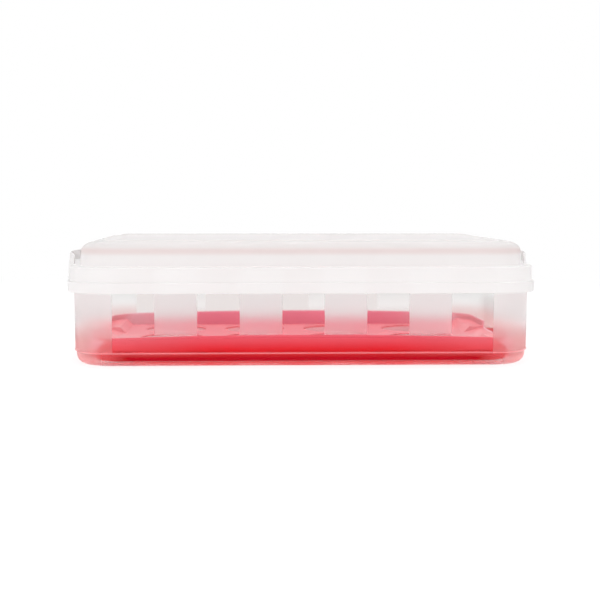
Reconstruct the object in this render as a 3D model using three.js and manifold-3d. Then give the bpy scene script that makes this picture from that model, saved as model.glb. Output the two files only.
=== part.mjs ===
// A lidded storage box for sweets and cakes. An open container carries a domed lid, which grips
// its rim and has a bowed grip on each short end. A loose tray with round wells stands inside.
// Millimetres, +Z up. The origin lies on the table under the middle of the box. X runs along
// its length, and the front faces -Y.
import * as THREE from "three";
import { mergeVertices } from "three/addons/utils/BufferGeometryUtils.js";
import Module from "manifold-3d";

const wasm = await Module();
wasm.setup();

// Container: outside at the raised line, above which the walls open out a little to the rim
const containerLength = 402;
const containerDepth = 240;
const containerHeight = 84.5;
const containerCornerRadius = 35.5;
const containerWall = 1.8;
const containerFloor = 2;
const containerDraft = 0.5;

// Raised line above the rounded bottom edge, and the foot ring under the floor
const stepHeight = 11.6;
const stepInset = 1.2;
const stepBeadProud = 0.4;
const stepBeadHeight = 1.4;
const baseRoundHeight = 9.4;
const footInset = 10;
const footRingWidth = 6;
const footRecess = 1;

// Lip that runs round the container's rim
const rimLipReach = 1.4;
const rimLipHeight = 2.2;

// Lid: skirt, band, ledge, dome and crown
const lidWall = 1.6;
const bandClearance = 0.6;
const bandHeight = 13.2;
const skirtFlare = 1.9;
const skirtFlareHeight = 0.8;
const skirtHeight = 9.4;
const ledgeWidth = 9.3;
const ledgeFillet = 0.9;
const domeRise = 22.6;
const domeDraft = 0.7;
const shoulderWidth = 13.6;
const shoulderHeight = 9.2;
const crownInset = 5.5;
const crownRise = 1.3;
const crownSlope = 1.5;
const snapBeadProud = 0.3;
const snapBeadHeight = 2.4;

// Grip on each short end of the lid: a bowed wall that hangs from a web at ledge level
const gripWidth = 132;
const gripReach = 12.4;
const gripWall = 2;
const gripRise = 9.2;
const gripDrop = 16.6;
const gripLean = 2.2;
const gripEndRoundLength = 18;
const gripEndRoundHeight = 8.4;

// Tray: a wall round a raised floor, with its upper edge arched along the length
const trayEndGap = 10.7;
const traySideGap = 4.2;
const trayCornerRadius = 28;
const trayWall = 1.8;
const trayFloor = 1.8;
const trayFloorHeight = 9.3;
const trayWallRise = 14.4;
const trayArchDrop = 3.2;
const trayDraft = 0.6;
const trayFootInset = 4.5;
const trayFootRoundHeight = 6;
const trayLipProud = 0.5;
const trayLipHeight = 1.8;

// Round wells in the tray's floor
const wellDiameter = 61;
const wellPitchX = 80;
const wellPitchY = 70;
const wellsAlong = 4;
const wellsAcross = 3;

// Raised lands at the tray's ends, and the finger notch between each pair
const landLength = 21;
const landSlopeLength = 6;
const landRise = 5.9;
const notchWidth = 62;
const notchCornerRadius = 4;
const rampLength = 16.5;
const rampRise = 4.2;
const tabCornerRadius = 7;
const tabGap = 1.5;

// Gap between faces that rest on each other, and small edge sizes
const seatGap = 0.3;
const edgeRound = 0.5;
const sharpestCorner = 2;
const cutOverrun = 5;

// Facets
const cornerSteps = 12;
const roundSteps = 5;
const archSteps = 10;
const gripSteps = 24;
const wellSteps = 40;

// Levels and outlines that several pieces share
const floorTop = footRecess + containerFloor;
const ledgeTop = containerHeight + seatGap + lidWall;
const boxOutline = {
  length: containerLength,
  depth: containerDepth,
  cornerRadius: containerCornerRadius,
  sideSteps: 1,
};
const trayOutline = {
  length: containerLength - 2 * (containerWall + trayEndGap),
  depth: containerDepth - 2 * (containerWall + traySideGap),
  cornerRadius: trayCornerRadius,
  sideSteps: archSteps,
};

// Points of a rounded rectangle drawn in by an inset all round, anticlockwise seen from above
function outlinePoints(outline, inset) {
  const radius = Math.max(outline.cornerRadius - inset, sharpestCorner);
  const coreX = outline.length / 2 - inset - radius;
  const coreY = outline.depth / 2 - inset - radius;
  const cores = [
    [coreX, coreY],
    [-coreX, coreY],
    [-coreX, -coreY],
    [coreX, -coreY],
  ];
  const points = [];
  cores.forEach(([x, y], corner) => {
    for (let i = 0; i <= cornerSteps; i++) {
      const angle = (Math.PI / 2) * (corner + i / cornerSteps);
      points.push([x + radius * Math.cos(angle), y + radius * Math.sin(angle)]);
    }
    const side = corner === 0 ? 1 : -1;
    const runSteps = corner % 2 === 0 ? outline.sideSteps : 1;
    for (let i = 1; i < runSteps; i++) {
      points.push([side * coreX * (1 - (2 * i) / runSteps), side * (coreY + radius)]);
    }
  });
  return points;
}

// A ring of a loft: the outline's inset, its height, and how far it is let down at the ends
function ring(inset, height, drop = 0) {
  return { inset, height, drop };
}

// Rings along a quarter of an ellipse, which leaves its first ring upright or level
function quarterRound(from, to, leavesUpright) {
  const rings = [];
  for (let i = 1; i <= roundSteps; i++) {
    const angle = ((Math.PI / 2) * i) / roundSteps;
    const early = Math.sin(angle);
    const late = 1 - Math.cos(angle);
    const across = leavesUpright ? late : early;
    const along = leavesUpright ? early : late;
    rings.push(
      ring(
        from.inset + (to.inset - from.inset) * across,
        from.height + (to.height - from.height) * along,
        from.drop + (to.drop - from.drop) * along,
      ),
    );
  }
  return rings;
}

// A closed surface through rings of one outline. Its ends are capped, or its last ring meets
// its first. Seen along the profile, the material is on the left.
function loft(outline, rings, endless = false) {
  const positions = [];
  const triangles = [];
  const loops = rings.map(({ inset, height, drop }) => {
    const first = positions.length / 3;
    for (const [x, y] of outlinePoints(outline, inset)) {
      const endShare = (2 * x) / outline.length;
      positions.push(x, y, height - drop * endShare * endShare);
    }
    return first;
  });
  const count = positions.length / 3 / rings.length;
  const joins = endless ? loops.length : loops.length - 1;
  for (let loop = 0; loop < joins; loop++) {
    const here = loops[loop];
    const next = loops[(loop + 1) % loops.length];
    for (let i = 0; i < count; i++) {
      const j = (i + 1) % count;
      triangles.push(here + i, here + j, next + j, here + i, next + j, next + i);
    }
  }
  if (!endless) {
    const caps = [
      [loops[0], rings[0].height, true],
      [loops.at(-1), rings.at(-1).height, false],
    ];
    for (const [first, height, facesDown] of caps) {
      const middle = positions.length / 3;
      positions.push(0, 0, height);
      for (let i = 0; i < count; i++) {
        const j = (i + 1) % count;
        const pair = facesDown ? [first + j, first + i] : [first + i, first + j];
        triangles.push(middle, ...pair);
      }
    }
  }
  const geometry = new THREE.BufferGeometry();
  geometry.setAttribute("position", new THREE.Float32BufferAttribute(positions, 3));
  geometry.setIndex(triangles);
  return geometry;
}

// A closed geometry as a solid that can be joined and cut
function solid(geometry) {
  const bare = geometry.clone();
  bare.deleteAttribute("normal");
  bare.deleteAttribute("uv");
  const merged = mergeVertices(bare);
  return new wasm.Manifold(
    new wasm.Mesh({
      numProp: 3,
      vertProperties: merged.attributes.position.array,
      triVerts: new Uint32Array(merged.index.array),
    }),
  );
}

// A solid as a named mesh
function pieceOf(name, body, material) {
  const { vertProperties, triVerts } = body.getMesh();
  const geometry = new THREE.BufferGeometry();
  geometry.setAttribute("position", new THREE.BufferAttribute(vertProperties, 3));
  geometry.setIndex(new THREE.BufferAttribute(triVerts, 1));
  geometry.computeVertexNormals();
  const mesh = new THREE.Mesh(geometry, material);
  mesh.name = name;
  return mesh;
}

// The outline filled from one height to another
function filledOutline(outline, inset, from, to) {
  return solid(loft(outline, [ring(inset, from), ring(inset, to)]));
}

// A flat shape thickened by a length
function thickened(shape, thickness, curveSegments = roundSteps) {
  return new THREE.ExtrudeGeometry(shape, {
    depth: thickness,
    bevelEnabled: false,
    curveSegments,
  });
}

// A shape drawn in X and Z, thickened across Y between two places
function acrossY(shape, from, to) {
  const geometry = thickened(shape, to - from);
  geometry.rotateX(Math.PI / 2);
  geometry.translate(0, to, 0);
  return solid(geometry);
}

// A shape drawn in Y and Z, thickened along X between two places
function alongX(shape, from, to) {
  const geometry = thickened(shape, to - from);
  const turn = new THREE.Matrix4().makeBasis(
    new THREE.Vector3(0, 1, 0),
    new THREE.Vector3(0, 0, 1),
    new THREE.Vector3(1, 0, 0),
  );
  geometry.applyMatrix4(turn);
  geometry.translate(from, 0, 0);
  return solid(geometry);
}

// A shape through straight-line points
function polygon(points) {
  return new THREE.Shape(points.map(([x, y]) => new THREE.Vector2(x, y)));
}

// A rectangle from two opposite corners, with its corners rounded
function roundedRectangle(left, bottom, right, top, radius) {
  const shape = new THREE.Shape();
  shape.moveTo(left + radius, bottom);
  shape.lineTo(right - radius, bottom);
  shape.absarc(right - radius, bottom + radius, radius, -Math.PI / 2, 0);
  shape.absarc(right - radius, top - radius, radius, 0, Math.PI / 2);
  shape.absarc(left + radius, top - radius, radius, Math.PI / 2, Math.PI);
  shape.absarc(left + radius, bottom + radius, radius, Math.PI, Math.PI * 1.5);
  return shape;
}

// The same solid at both ends of the box
function atBothEnds(body) {
  return body.add(body.rotate([0, 0, 180]));
}

// Container: foot ring, rounded bottom edge, raised line, wall, rim lip, and the inside down
// to the floor
function makeContainer() {
  const footOuter = ring(footInset, 0);
  const baseTop = ring(stepInset, baseRoundHeight);
  const lipInset = -containerDraft - rimLipReach;
  const innerFloor = ring(footInset, floorTop);
  const innerRoundTop = ring(
    stepInset + containerWall,
    floorTop + baseRoundHeight - containerFloor,
  );
  const innerStep = ring(containerWall, stepHeight + stepBeadHeight + containerWall);
  const rings = [
    ring(footInset + footRingWidth + footRecess, footRecess),
    ring(footInset + footRingWidth, 0),
    footOuter,
    ...quarterRound(footOuter, baseTop, false),
    ring(stepInset, stepHeight - stepBeadHeight / 2),
    ring(-stepBeadProud, stepHeight),
    ring(-stepBeadProud, stepHeight + stepBeadHeight / 2),
    ring(0, stepHeight + stepBeadHeight),
    ring(-containerDraft, containerHeight - rimLipHeight - edgeRound),
    ring(lipInset, containerHeight - rimLipHeight),
    ring(lipInset, containerHeight - edgeRound),
    ring(lipInset + edgeRound, containerHeight),
    ring(containerWall - containerDraft - edgeRound, containerHeight),
    ring(containerWall - containerDraft, containerHeight - edgeRound),
    innerStep,
    innerRoundTop,
    ...quarterRound(innerRoundTop, innerFloor, true),
  ];
  return solid(loft(boxOutline, rings));
}

// Insets of the lid's outer faces from the container's outline, outwards below zero
const bandInset = -(containerDraft + rimLipReach + bandClearance + lidWall);
const skirtInset = bandInset - skirtFlare;
const domeInset = bandInset + ledgeWidth;
const bandFoot = ledgeTop - bandHeight;
const skirtFoot = bandFoot - skirtHeight;
const crownTop = ledgeTop + domeRise;

// Lid shell: up the inside from the ceiling to the skirt's lower edge, and back over the outside
function makeLidShell() {
  const shoulderFoot = crownTop - crownRise - shoulderHeight;
  const shoulderStart = ring(domeInset + domeDraft, shoulderFoot);
  const shoulderEnd = ring(shoulderStart.inset + shoulderWidth, crownTop - crownRise);
  const innerShoulderEnd = ring(shoulderEnd.inset, shoulderEnd.height - lidWall);
  const innerShoulderStart = ring(shoulderStart.inset + lidWall, shoulderFoot);
  const crownEdge = shoulderEnd.inset + crownInset;
  const innerBand = bandInset + lidWall;
  const snapHeight = containerHeight - rimLipHeight - snapBeadHeight;
  const rings = [
    ring(crownEdge + crownSlope, crownTop - lidWall),
    ring(crownEdge, crownTop - crownRise - lidWall),
    innerShoulderEnd,
    ...quarterRound(innerShoulderEnd, innerShoulderStart, false),
    ring(domeInset + lidWall, ledgeTop - lidWall),
    ring(innerBand, ledgeTop - lidWall),
    ring(innerBand, snapHeight + snapBeadHeight / 2),
    ring(innerBand + snapBeadProud, snapHeight),
    ring(innerBand, snapHeight - snapBeadHeight / 2),
    ring(innerBand, bandFoot),
    ring(innerBand - skirtFlare, bandFoot - skirtFlareHeight),
    ring(innerBand - skirtFlare, skirtFoot),
    ring(skirtInset + edgeRound, skirtFoot),
    ring(skirtInset, skirtFoot + edgeRound),
    ring(skirtInset, bandFoot - edgeRound),
    ring(bandInset - edgeRound, bandFoot + skirtFlareHeight - edgeRound),
    ring(bandInset, bandFoot + skirtFlareHeight),
    ring(bandInset, ledgeTop - ledgeFillet),
    ring(bandInset + ledgeFillet, ledgeTop),
    ring(domeInset - ledgeFillet, ledgeTop),
    ring(domeInset, ledgeTop + ledgeFillet),
    shoulderStart,
    ...quarterRound(shoulderStart, shoulderEnd, true),
    ring(crownEdge, crownTop - crownRise),
    ring(crownEdge + crownSlope, crownTop),
  ];
  return solid(loft(boxOutline, rings));
}

// The arc that the grip's outer face follows at its foot
const bandHalfLength = containerLength / 2 - bandInset;
const bowRadius = ((gripWidth / 2) ** 2 + gripReach ** 2) / (2 * gripReach);
const bowMiddle = bandHalfLength + gripReach - bowRadius;
const bowAngle = Math.asin(gripWidth / 2 / bowRadius);
const gripFoot = ledgeTop - gripDrop;
const gripTop = ledgeTop + gripRise;

// How far the grip leans inwards at a height
function gripLeanAt(height) {
  return (gripLean * (height - gripFoot)) / (gripTop - gripFoot);
}

// Bowed grip wall at the +X end, lofted through stations along its arc
function makeGripWall() {
  const positions = [];
  const triangles = [];
  for (let i = 0; i <= gripSteps; i++) {
    const angle = bowAngle * ((2 * i) / gripSteps - 1);
    const fromEnd = gripWidth / 2 - Math.abs(bowRadius * Math.sin(angle));
    const rounding = 1 - Math.min(fromEnd / gripEndRoundLength, 1);
    const top = gripTop - gripEndRoundHeight * (1 - Math.sqrt(1 - rounding * rounding));
    const corners = [
      [0, gripFoot],
      [0, top],
      [gripWall, top],
      [gripWall, gripFoot],
    ];
    for (const [depth, height] of corners) {
      const radius = bowRadius - depth - gripLeanAt(height);
      positions.push(bowMiddle + radius * Math.cos(angle));
      positions.push(radius * Math.sin(angle), height);
    }
  }
  for (let i = 0; i < gripSteps; i++) {
    for (let edge = 0; edge < 4; edge++) {
      const a = 4 * i + edge;
      const b = 4 * i + ((edge + 1) % 4);
      triangles.push(a, a + 4, b + 4, a, b + 4, b);
    }
  }
  const last = 4 * gripSteps;
  triangles.push(0, 1, 2, 0, 2, 3, last, last + 2, last + 1, last, last + 3, last + 2);
  const geometry = new THREE.BufferGeometry();
  geometry.setAttribute("position", new THREE.Float32BufferAttribute(positions, 3));
  geometry.setIndex(triangles);
  return solid(geometry);
}

// Web that carries the grip wall, level with the ledge
function makeGripWeb() {
  const radius = bowRadius - gripLeanAt(ledgeTop) - gripWall / 2;
  const shape = new THREE.Shape();
  shape.absarc(bowMiddle, 0, radius, -bowAngle, bowAngle);
  const geometry = thickened(shape, lidWall, gripSteps);
  geometry.translate(0, 0, ledgeTop - lidWall);
  return solid(geometry);
}

// Lid: the shell with a grip on each end, each trimmed in the middle of the band's wall
function makeLid() {
  const core = filledOutline(
    boxOutline,
    bandInset + lidWall / 2,
    skirtFoot - cutOverrun,
    crownTop + cutOverrun,
  );
  const grip = makeGripWall().add(makeGripWeb()).subtract(core);
  return makeLidShell().add(atBothEnds(grip));
}

// Levels and places of the tray
const trayFoot = floorTop + seatGap;
const trayFloorTop = trayFoot + trayFloorHeight;
const trayTop = trayFloorTop + trayWallRise;
const trayHalfLength = trayOutline.length / 2;
const trayHalfDepth = trayOutline.depth / 2;
const landStart = trayHalfLength - landLength;
const tabEnd = containerLength / 2 - containerWall - tabGap;

// Tray wall: curved in at its foot, and arched along its upper edge
function makeTrayWall() {
  const footOuter = ring(trayFootInset, trayFoot);
  const footTop = ring(0, trayFoot + trayFootRoundHeight);
  const innerFootTop = ring(trayWall, footTop.height);
  const innerFoot = ring(trayFootInset + trayWall, trayFoot);
  const lipFoot = trayTop - trayLipHeight;
  const rings = [
    footOuter,
    ...quarterRound(footOuter, footTop, false),
    ring(0, trayFloorTop),
    ring(trayDraft, lipFoot - trayLipProud, trayArchDrop),
    ring(trayDraft - trayLipProud, lipFoot, trayArchDrop),
    ring(trayDraft - trayLipProud, trayTop - edgeRound, trayArchDrop),
    ring(trayDraft, trayTop, trayArchDrop),
    ring(trayDraft + trayWall - edgeRound, trayTop, trayArchDrop),
    ring(trayDraft + trayWall, trayTop - edgeRound, trayArchDrop),
    ring(trayWall, trayFloorTop),
    innerFootTop,
    ...quarterRound(innerFootTop, innerFoot, true),
  ];
  return solid(loft(trayOutline, rings, true));
}

// A sheet of the tray's floor thickness under a line drawn in X and Z
function floorSheet(line, from, to) {
  const under = line.map(([x, z]) => [x, z - trayFloor]);
  return acrossY(polygon([...under, ...line.reverse()]), from, to);
}

// Raised lands at the +X end, their cheeks beside the notch, and the ramp up to the finger tab
function makeTrayEnd() {
  const landTop = trayFloorTop + landRise;
  const rampTop = trayFloorTop + rampRise;
  const wallMiddle = trayHalfLength - trayWall / 2;
  const start = landStart - trayFloor;
  const cheekIn = notchWidth / 2;
  const cheekOut = cheekIn + trayFloor;
  const landLine = () => [
    [start, trayFloorTop],
    [landStart, trayFloorTop],
    [landStart + landSlopeLength, landTop],
    [trayHalfLength, landTop],
  ];
  const rampLine = [
    [start, trayFloorTop],
    [landStart, trayFloorTop],
    [landStart + rampLength, rampTop],
    [tabEnd, rampTop],
  ];
  const cheek = polygon([
    [start, trayFloorTop - trayFloor],
    [landStart, trayFloorTop - trayFloor],
    [landStart + rampLength, rampTop - trayFloor],
    [trayHalfLength, rampTop - trayFloor],
    [trayHalfLength, landTop],
    [landStart + landSlopeLength, landTop],
    [landStart, trayFloorTop],
    [start, trayFloorTop],
  ]);
  const inside = filledOutline(trayOutline, trayWall / 2, trayFoot, trayTop);
  const lands = floorSheet(landLine(), cheekIn, trayHalfDepth)
    .add(floorSheet(landLine(), -trayHalfDepth, -cheekIn))
    .add(acrossY(cheek, cheekIn, cheekOut))
    .add(acrossY(cheek, -cheekOut, -cheekIn))
    .intersect(inside);
  const tabPlan = roundedRectangle(
    start,
    -cheekIn - trayFloor / 2,
    tabEnd,
    cheekIn + trayFloor / 2,
    tabCornerRadius,
  );
  const tabPrism = thickened(tabPlan, trayTop - trayFoot);
  tabPrism.translate(0, 0, trayFoot);
  const squareStart = alongX(
    polygon([
      [-cheekOut, trayFoot],
      [cheekOut, trayFoot],
      [cheekOut, trayTop],
      [-cheekOut, trayTop],
    ]),
    start,
    wallMiddle,
  );
  const ramp = floorSheet(rampLine, -cheekIn - trayFloor / 2, cheekIn + trayFloor / 2);
  return lands.add(ramp.intersect(solid(tabPrism).add(squareStart)));
}

// Tray: wall, floor between the lands, both ends, less the wells and the finger notches
function makeTray() {
  const sheetBottom = trayFloorTop - trayFloor;
  const floor = filledOutline(trayOutline, trayWall / 2, sheetBottom, trayFloorTop);
  const between = alongX(
    polygon([
      [-trayHalfDepth, sheetBottom - cutOverrun],
      [trayHalfDepth, sheetBottom - cutOverrun],
      [trayHalfDepth, trayFloorTop + cutOverrun],
      [-trayHalfDepth, trayFloorTop + cutOverrun],
    ]),
    -landStart,
    landStart,
  );
  const notch = alongX(
    roundedRectangle(
      -notchWidth / 2,
      trayFloorTop + rampRise,
      notchWidth / 2,
      trayTop + notchCornerRadius + cutOverrun,
      notchCornerRadius,
    ),
    landStart + rampLength,
    tabEnd + cutOverrun,
  );
  const ends = atBothEnds(makeTrayEnd());
  let tray = makeTrayWall().subtract(atBothEnds(notch));
  tray = tray.add(floor.intersect(between)).add(ends);
  for (let column = 0; column < wellsAlong; column++) {
    for (let row = 0; row < wellsAcross; row++) {
      const well = new THREE.CylinderGeometry(
        wellDiameter / 2,
        wellDiameter / 2,
        trayFloor + 2 * cutOverrun,
        wellSteps,
      );
      well.rotateX(Math.PI / 2);
      well.translate(
        wellPitchX * (column - (wellsAlong - 1) / 2),
        wellPitchY * (row - (wellsAcross - 1) / 2),
        trayFloorTop - trayFloor / 2,
      );
      tray = tray.subtract(solid(well));
    }
  }
  return tray;
}

const frosted = new THREE.MeshStandardMaterial({
  name: "frosted_plastic",
  color: 0xece5e4,
  roughness: 0.5,
  metalness: 0,
  transparent: true,
  opacity: 0.5,
});
const lidPlastic = new THREE.MeshStandardMaterial({
  name: "lid_plastic",
  color: 0xf1edec,
  roughness: 0.45,
  metalness: 0,
  transparent: true,
  opacity: 0.6,
});
const redPlastic = new THREE.MeshStandardMaterial({
  name: "red_plastic",
  color: 0xd0202c,
  roughness: 0.3,
  metalness: 0,
  transparent: true,
  opacity: 0.8,
});

const group = new THREE.Group();
group.name = "candy_storage_box";
group.add(pieceOf("container", makeContainer(), frosted));
group.add(pieceOf("lid", makeLid(), lidPlastic));
group.add(pieceOf("tray", makeTray(), redPlastic));

export default group;
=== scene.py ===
"""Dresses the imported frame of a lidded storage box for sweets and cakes.

The container and the lid are thin moulded shells, swept round one rounded rectangle. The tray
inside is a swept wall with a floor, raised ends and rows of round wells. Lengths are in metres
in Blender and in millimetres where this file writes them.
"""

import math
from collections import namedtuple

import bmesh
import bpy
from mathutils import Matrix, Vector


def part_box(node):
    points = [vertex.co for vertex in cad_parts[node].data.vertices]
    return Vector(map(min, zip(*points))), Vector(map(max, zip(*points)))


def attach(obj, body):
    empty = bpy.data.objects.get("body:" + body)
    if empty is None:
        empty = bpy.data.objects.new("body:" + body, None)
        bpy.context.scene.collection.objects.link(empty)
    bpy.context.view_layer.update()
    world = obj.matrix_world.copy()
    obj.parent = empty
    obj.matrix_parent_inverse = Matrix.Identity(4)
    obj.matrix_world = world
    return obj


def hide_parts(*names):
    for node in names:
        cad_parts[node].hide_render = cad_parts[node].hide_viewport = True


bl_info = {
    "name": "Candy Storage Box",
    "version": (1, 0, 0),
    "blender": (4, 5, 0),
    "location": "View3D > Sidebar > Candy Box",
    "description": "Builds a frosted storage box with a domed lid and a red tray",
    "category": "Add Mesh",
}

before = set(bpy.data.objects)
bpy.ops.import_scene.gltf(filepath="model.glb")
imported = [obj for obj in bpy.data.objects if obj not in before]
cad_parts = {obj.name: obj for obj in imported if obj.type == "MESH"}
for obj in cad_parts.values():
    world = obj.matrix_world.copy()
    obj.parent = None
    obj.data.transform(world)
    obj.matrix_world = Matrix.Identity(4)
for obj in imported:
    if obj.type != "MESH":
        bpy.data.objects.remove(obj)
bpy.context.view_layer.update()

MM = 0.001

# Facets of the finished meshes, and how far cutters reach past what they cut
CORNER_STEPS = 32
FILLET_STEPS = 5
SHOULDER_STEPS = 14
BOW_STEPS = 72
WELL_STEPS = 96
WALL_SPACING = 2.2 * MM
MERGE_DISTANCE = 0.004 * MM
SHARP_ANGLE = math.radians(38)
NORMAL_WEIGHT = 100
OVERRUN = 5 * MM

# Air between the lid and the rim, and between the tray and the floor it stands on
SEAT = 0.3 * MM

# Radius of small edges
CONTAINER_EDGE, TRAY_EDGE, WELL_EDGE = 0.35 * MM, 0.5 * MM, 0.45 * MM

# Shares of a wall's thickness: what the round of the grip's edges takes up, and what is left
# outside the ends of the tray's floor
GRIP_SOFTNESS, WALL_LEFT = 0.9, 0.4

# On the lid: the skirt's outer edges against its inner ones, and the crown's rounds and its
# edge's whole width against the slope
SKIRT_ROUND, CROWN_ROUND, CROWN_WIDTH = 1.4, 1.2, 3


# Sizes and finishes that a user may change


def kind_of(prop, **fixed):
    """A function that makes properties of one kind from a name, a description and a default."""

    def make(name, description, default):
        return prop(name=name, description=description, default=default, **fixed)

    return make


metres = kind_of(bpy.props.FloatProperty, unit="LENGTH", subtype="DISTANCE")
colour = kind_of(bpy.props.FloatVectorProperty, subtype="COLOR", min=0.0, max=1.0, size=3)
share = kind_of(bpy.props.FloatProperty, subtype="FACTOR", min=0.0, max=1.0)
number = kind_of(bpy.props.FloatProperty)
whole_number = kind_of(bpy.props.IntProperty, min=1)


def length(name, description, millimetres):
    """A length property, with its default in millimetres."""
    return metres(name, description, millimetres * MM)


# How far the rim lip stands out past the raised line, in millimetres
RIM_PROUD = 1.9
rim_low, rim_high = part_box("container")
rim_size = rim_high - rim_low


class ContainerSettings(bpy.types.PropertyGroup):
    """Sizes and finish of the container"""

    length: length("Length", "Outside at the raised line", rim_size.x / MM - 2 * RIM_PROUD)
    depth: length("Depth", "Outside at the raised line", rim_size.y / MM - 2 * RIM_PROUD)
    height: length("Height", "From the table to the rim", rim_size.z / MM)
    corner_radius: length("Corner radius", "Upright corners, outside", 35.5)
    wall: length("Wall", "Thickness of the walls", 1.8)
    floor: length("Floor", "Thickness of the floor", 2.0)
    draft: length("Draft", "How far the walls open out towards the rim", 0.5)
    step_height: length("Raised line height", "Where the raised line starts", 11.6)
    step_inset: length("Step inset", "How far the foot lies inside the wall", 1.2)
    step_proud: length("Raised line relief", "How far the line stands proud", 0.4)
    step_width: length("Raised line width", "Height of the raised line", 1.4)
    base_round: length("Bottom round", "Radius of the bottom edge", 9.0)
    foot_inset: length("Foot inset", "From the outside to the foot ring", 10.0)
    foot_width: length("Foot width", "Width of the foot ring", 6.0)
    foot_recess: length("Foot recess", "Floor's height above the table", 1.0)
    lip_reach: length("Rim lip reach", "How far the rim lip stands out", 1.4)
    lip_height: length("Rim lip height", "Height of the rim lip", 2.2)
    window_width: length("Window width", "Width of each clear or frosted band", 36.72)
    window_reach: length("Window reach", "Half the length that the bands cover", 165.0)
    tint: colour("Tint", "Colour of the frosted ends", (0.98, 0.988, 0.988))
    stripe_tint: colour("Stripe tint", "Colour of the frosted bands", (0.955, 0.95, 0.948))
    # Grey of the clear bands: painted shade of the box's inside seen through them; the low frosted
    # stripes take it too
    band_tint: colour("Band tint", "Colour of the clear bands", (0.88, 0.85, 0.845))
    stain: colour("Stain", "Colour of the lamp light that passes", (0.995, 0.99, 0.99))
    clearness: share("Clearness", "Share of light that passes unscattered", 1.0)
    passing: share("Passing", "Share of lamp light that passes straight", 0.97)
    frost: share("Frost", "Roughness of the frosted areas", 0.4)
    low_frost: share("Low frost", "Roughness of the bands in front of the tray", 0.14)
    end_frost: share("End frost", "Roughness of the ends near the foot", 0.5)
    veil: share("Veil", "Share of light that the frost scatters through", 0.7)
    high_end_veil: share("High end veil", "The same at the ends near the rim", 0.8)
    end_veil: share("End veil", "The same at the ends near the foot", 0.4)
    foot_veil: share("Foot veil", "The same at the bottom edge", 0.65)
    veil_tint: colour("Veil tint", "Colour of that light", (0.945, 1.0, 0.992))
    # The frost at the ends scatters light through in pink: painted red glow of the tray behind it
    haze_tint: colour("Haze tint", "Colour of that light near the foot", (1.0, 0.5, 0.49))
    # Red light scattered at the bottom edge: painted red glow of the tray
    foot_tint: colour("Foot tint", "Colour of that light at the bottom edge", (0.84, 0.12, 0.13))
    # Grey on the short walls: painted shade at the box's ends
    side_tint: colour("Side tint", "Colour of the short walls", (0.9, 0.89, 0.887))
    # The raised line scatters pink light back: a painted highlight
    line_milk: share("Line milk", "Share of light that the raised line scatters", 0.35)
    line_tint: colour("Line tint", "Colour that the raised line scatters", (1.0, 0.36, 0.4))
    floor_milk: share("Floor milk", "Share of light that the floor scatters back", 0.05)
    polish: share("Polish", "Roughness of the clear bands", 0.09)
    bending: number("Bending", "How much the plastic bends light", 1.2)
    sheen: share("Sheen", "Strength of the reflections", 0.15)


class LidSettings(bpy.types.PropertyGroup):
    """Sizes and finish of the lid"""

    wall: length("Wall", "Thickness of the shell", 1.6)
    clearance: length("Clearance", "Between the rim lip and the band", 0.6)
    band_height: length("Band height", "Upright band below the ledge", 13.2)
    skirt_flare: length("Skirt flare", "How far the skirt stands out", 1.9)
    skirt_step: length("Skirt step", "Height of the step above the skirt", 0.8)
    skirt_height: length("Skirt height", "Height of the skirt", 9.4)
    ledge_width: length("Ledge width", "From the band to the dome", 9.3)
    dome_rise: length("Dome rise", "From the ledge to the crown", 22.6)
    dome_draft: length("Dome draft", "Lean of the dome's wall", 0.7)
    shoulder_width: length("Shoulder width", "Width of the dome's shoulder", 13.6)
    shoulder_height: length("Shoulder height", "Height of the shoulder", 9.2)
    crown_inset: length("Crown inset", "From the shoulder to the crown", 5.5)
    crown_rise: length("Crown rise", "Height of the crown's edge", 1.3)
    crown_slope: length("Crown slope", "Width of the crown's edge", 1.5)
    edge_round: length("Edge round", "Radius of the small edges", 0.5)
    ledge_round: length("Ledge round", "Radius of the ledge's edges", 0.9)
    grip_width: length("Grip width", "Width of each end grip", 132.0)
    grip_reach: length("Grip reach", "How far the grip bows out", 12.4)
    grip_wall: length("Grip wall", "Thickness of the grip", 2.0)
    grip_rise: length("Grip rise", "Grip's height above the ledge", 9.2)
    grip_drop: length("Grip drop", "Grip's depth below the ledge", 16.6)
    grip_lean: length("Grip lean", "How far the grip leans in", 2.2)
    grip_end_length: length("Grip end length", "Rounding of the grip's ends", 18.0)
    grip_end_height: length("Grip end height", "Rounding of the grip's ends", 8.4)
    tint: colour("Tint", "Colour of the plastic", (0.85, 0.835, 0.833))
    # Grey of the dome: painted shade
    dome_tint: colour("Dome tint", "Colour of the dome", (0.82, 0.8, 0.798))
    # Pink below the shoulder: painted reflection of the red tray
    blush_tint: colour("Blush tint", "Colour below the shoulder", (0.765, 0.68, 0.67))
    # Grey of the shoulder: painted shade
    shoulder_tint: colour("Shoulder tint", "Colour of the shoulder", (0.775, 0.755, 0.751))
    stain: colour("Stain", "Colour of the lamp light that passes", (0.995, 0.99, 0.99))
    clearness: share("Clearness", "Share of light that passes unscattered", 0.5)
    passing: share("Passing", "Share of lamp light that passes straight", 1.0)
    frost: share("Frost", "Roughness of the surface", 0.5)
    bending: number("Bending", "How much the plastic bends light", 1.25)
    sheen: share("Sheen", "Strength of the reflections", 0.5)


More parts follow.
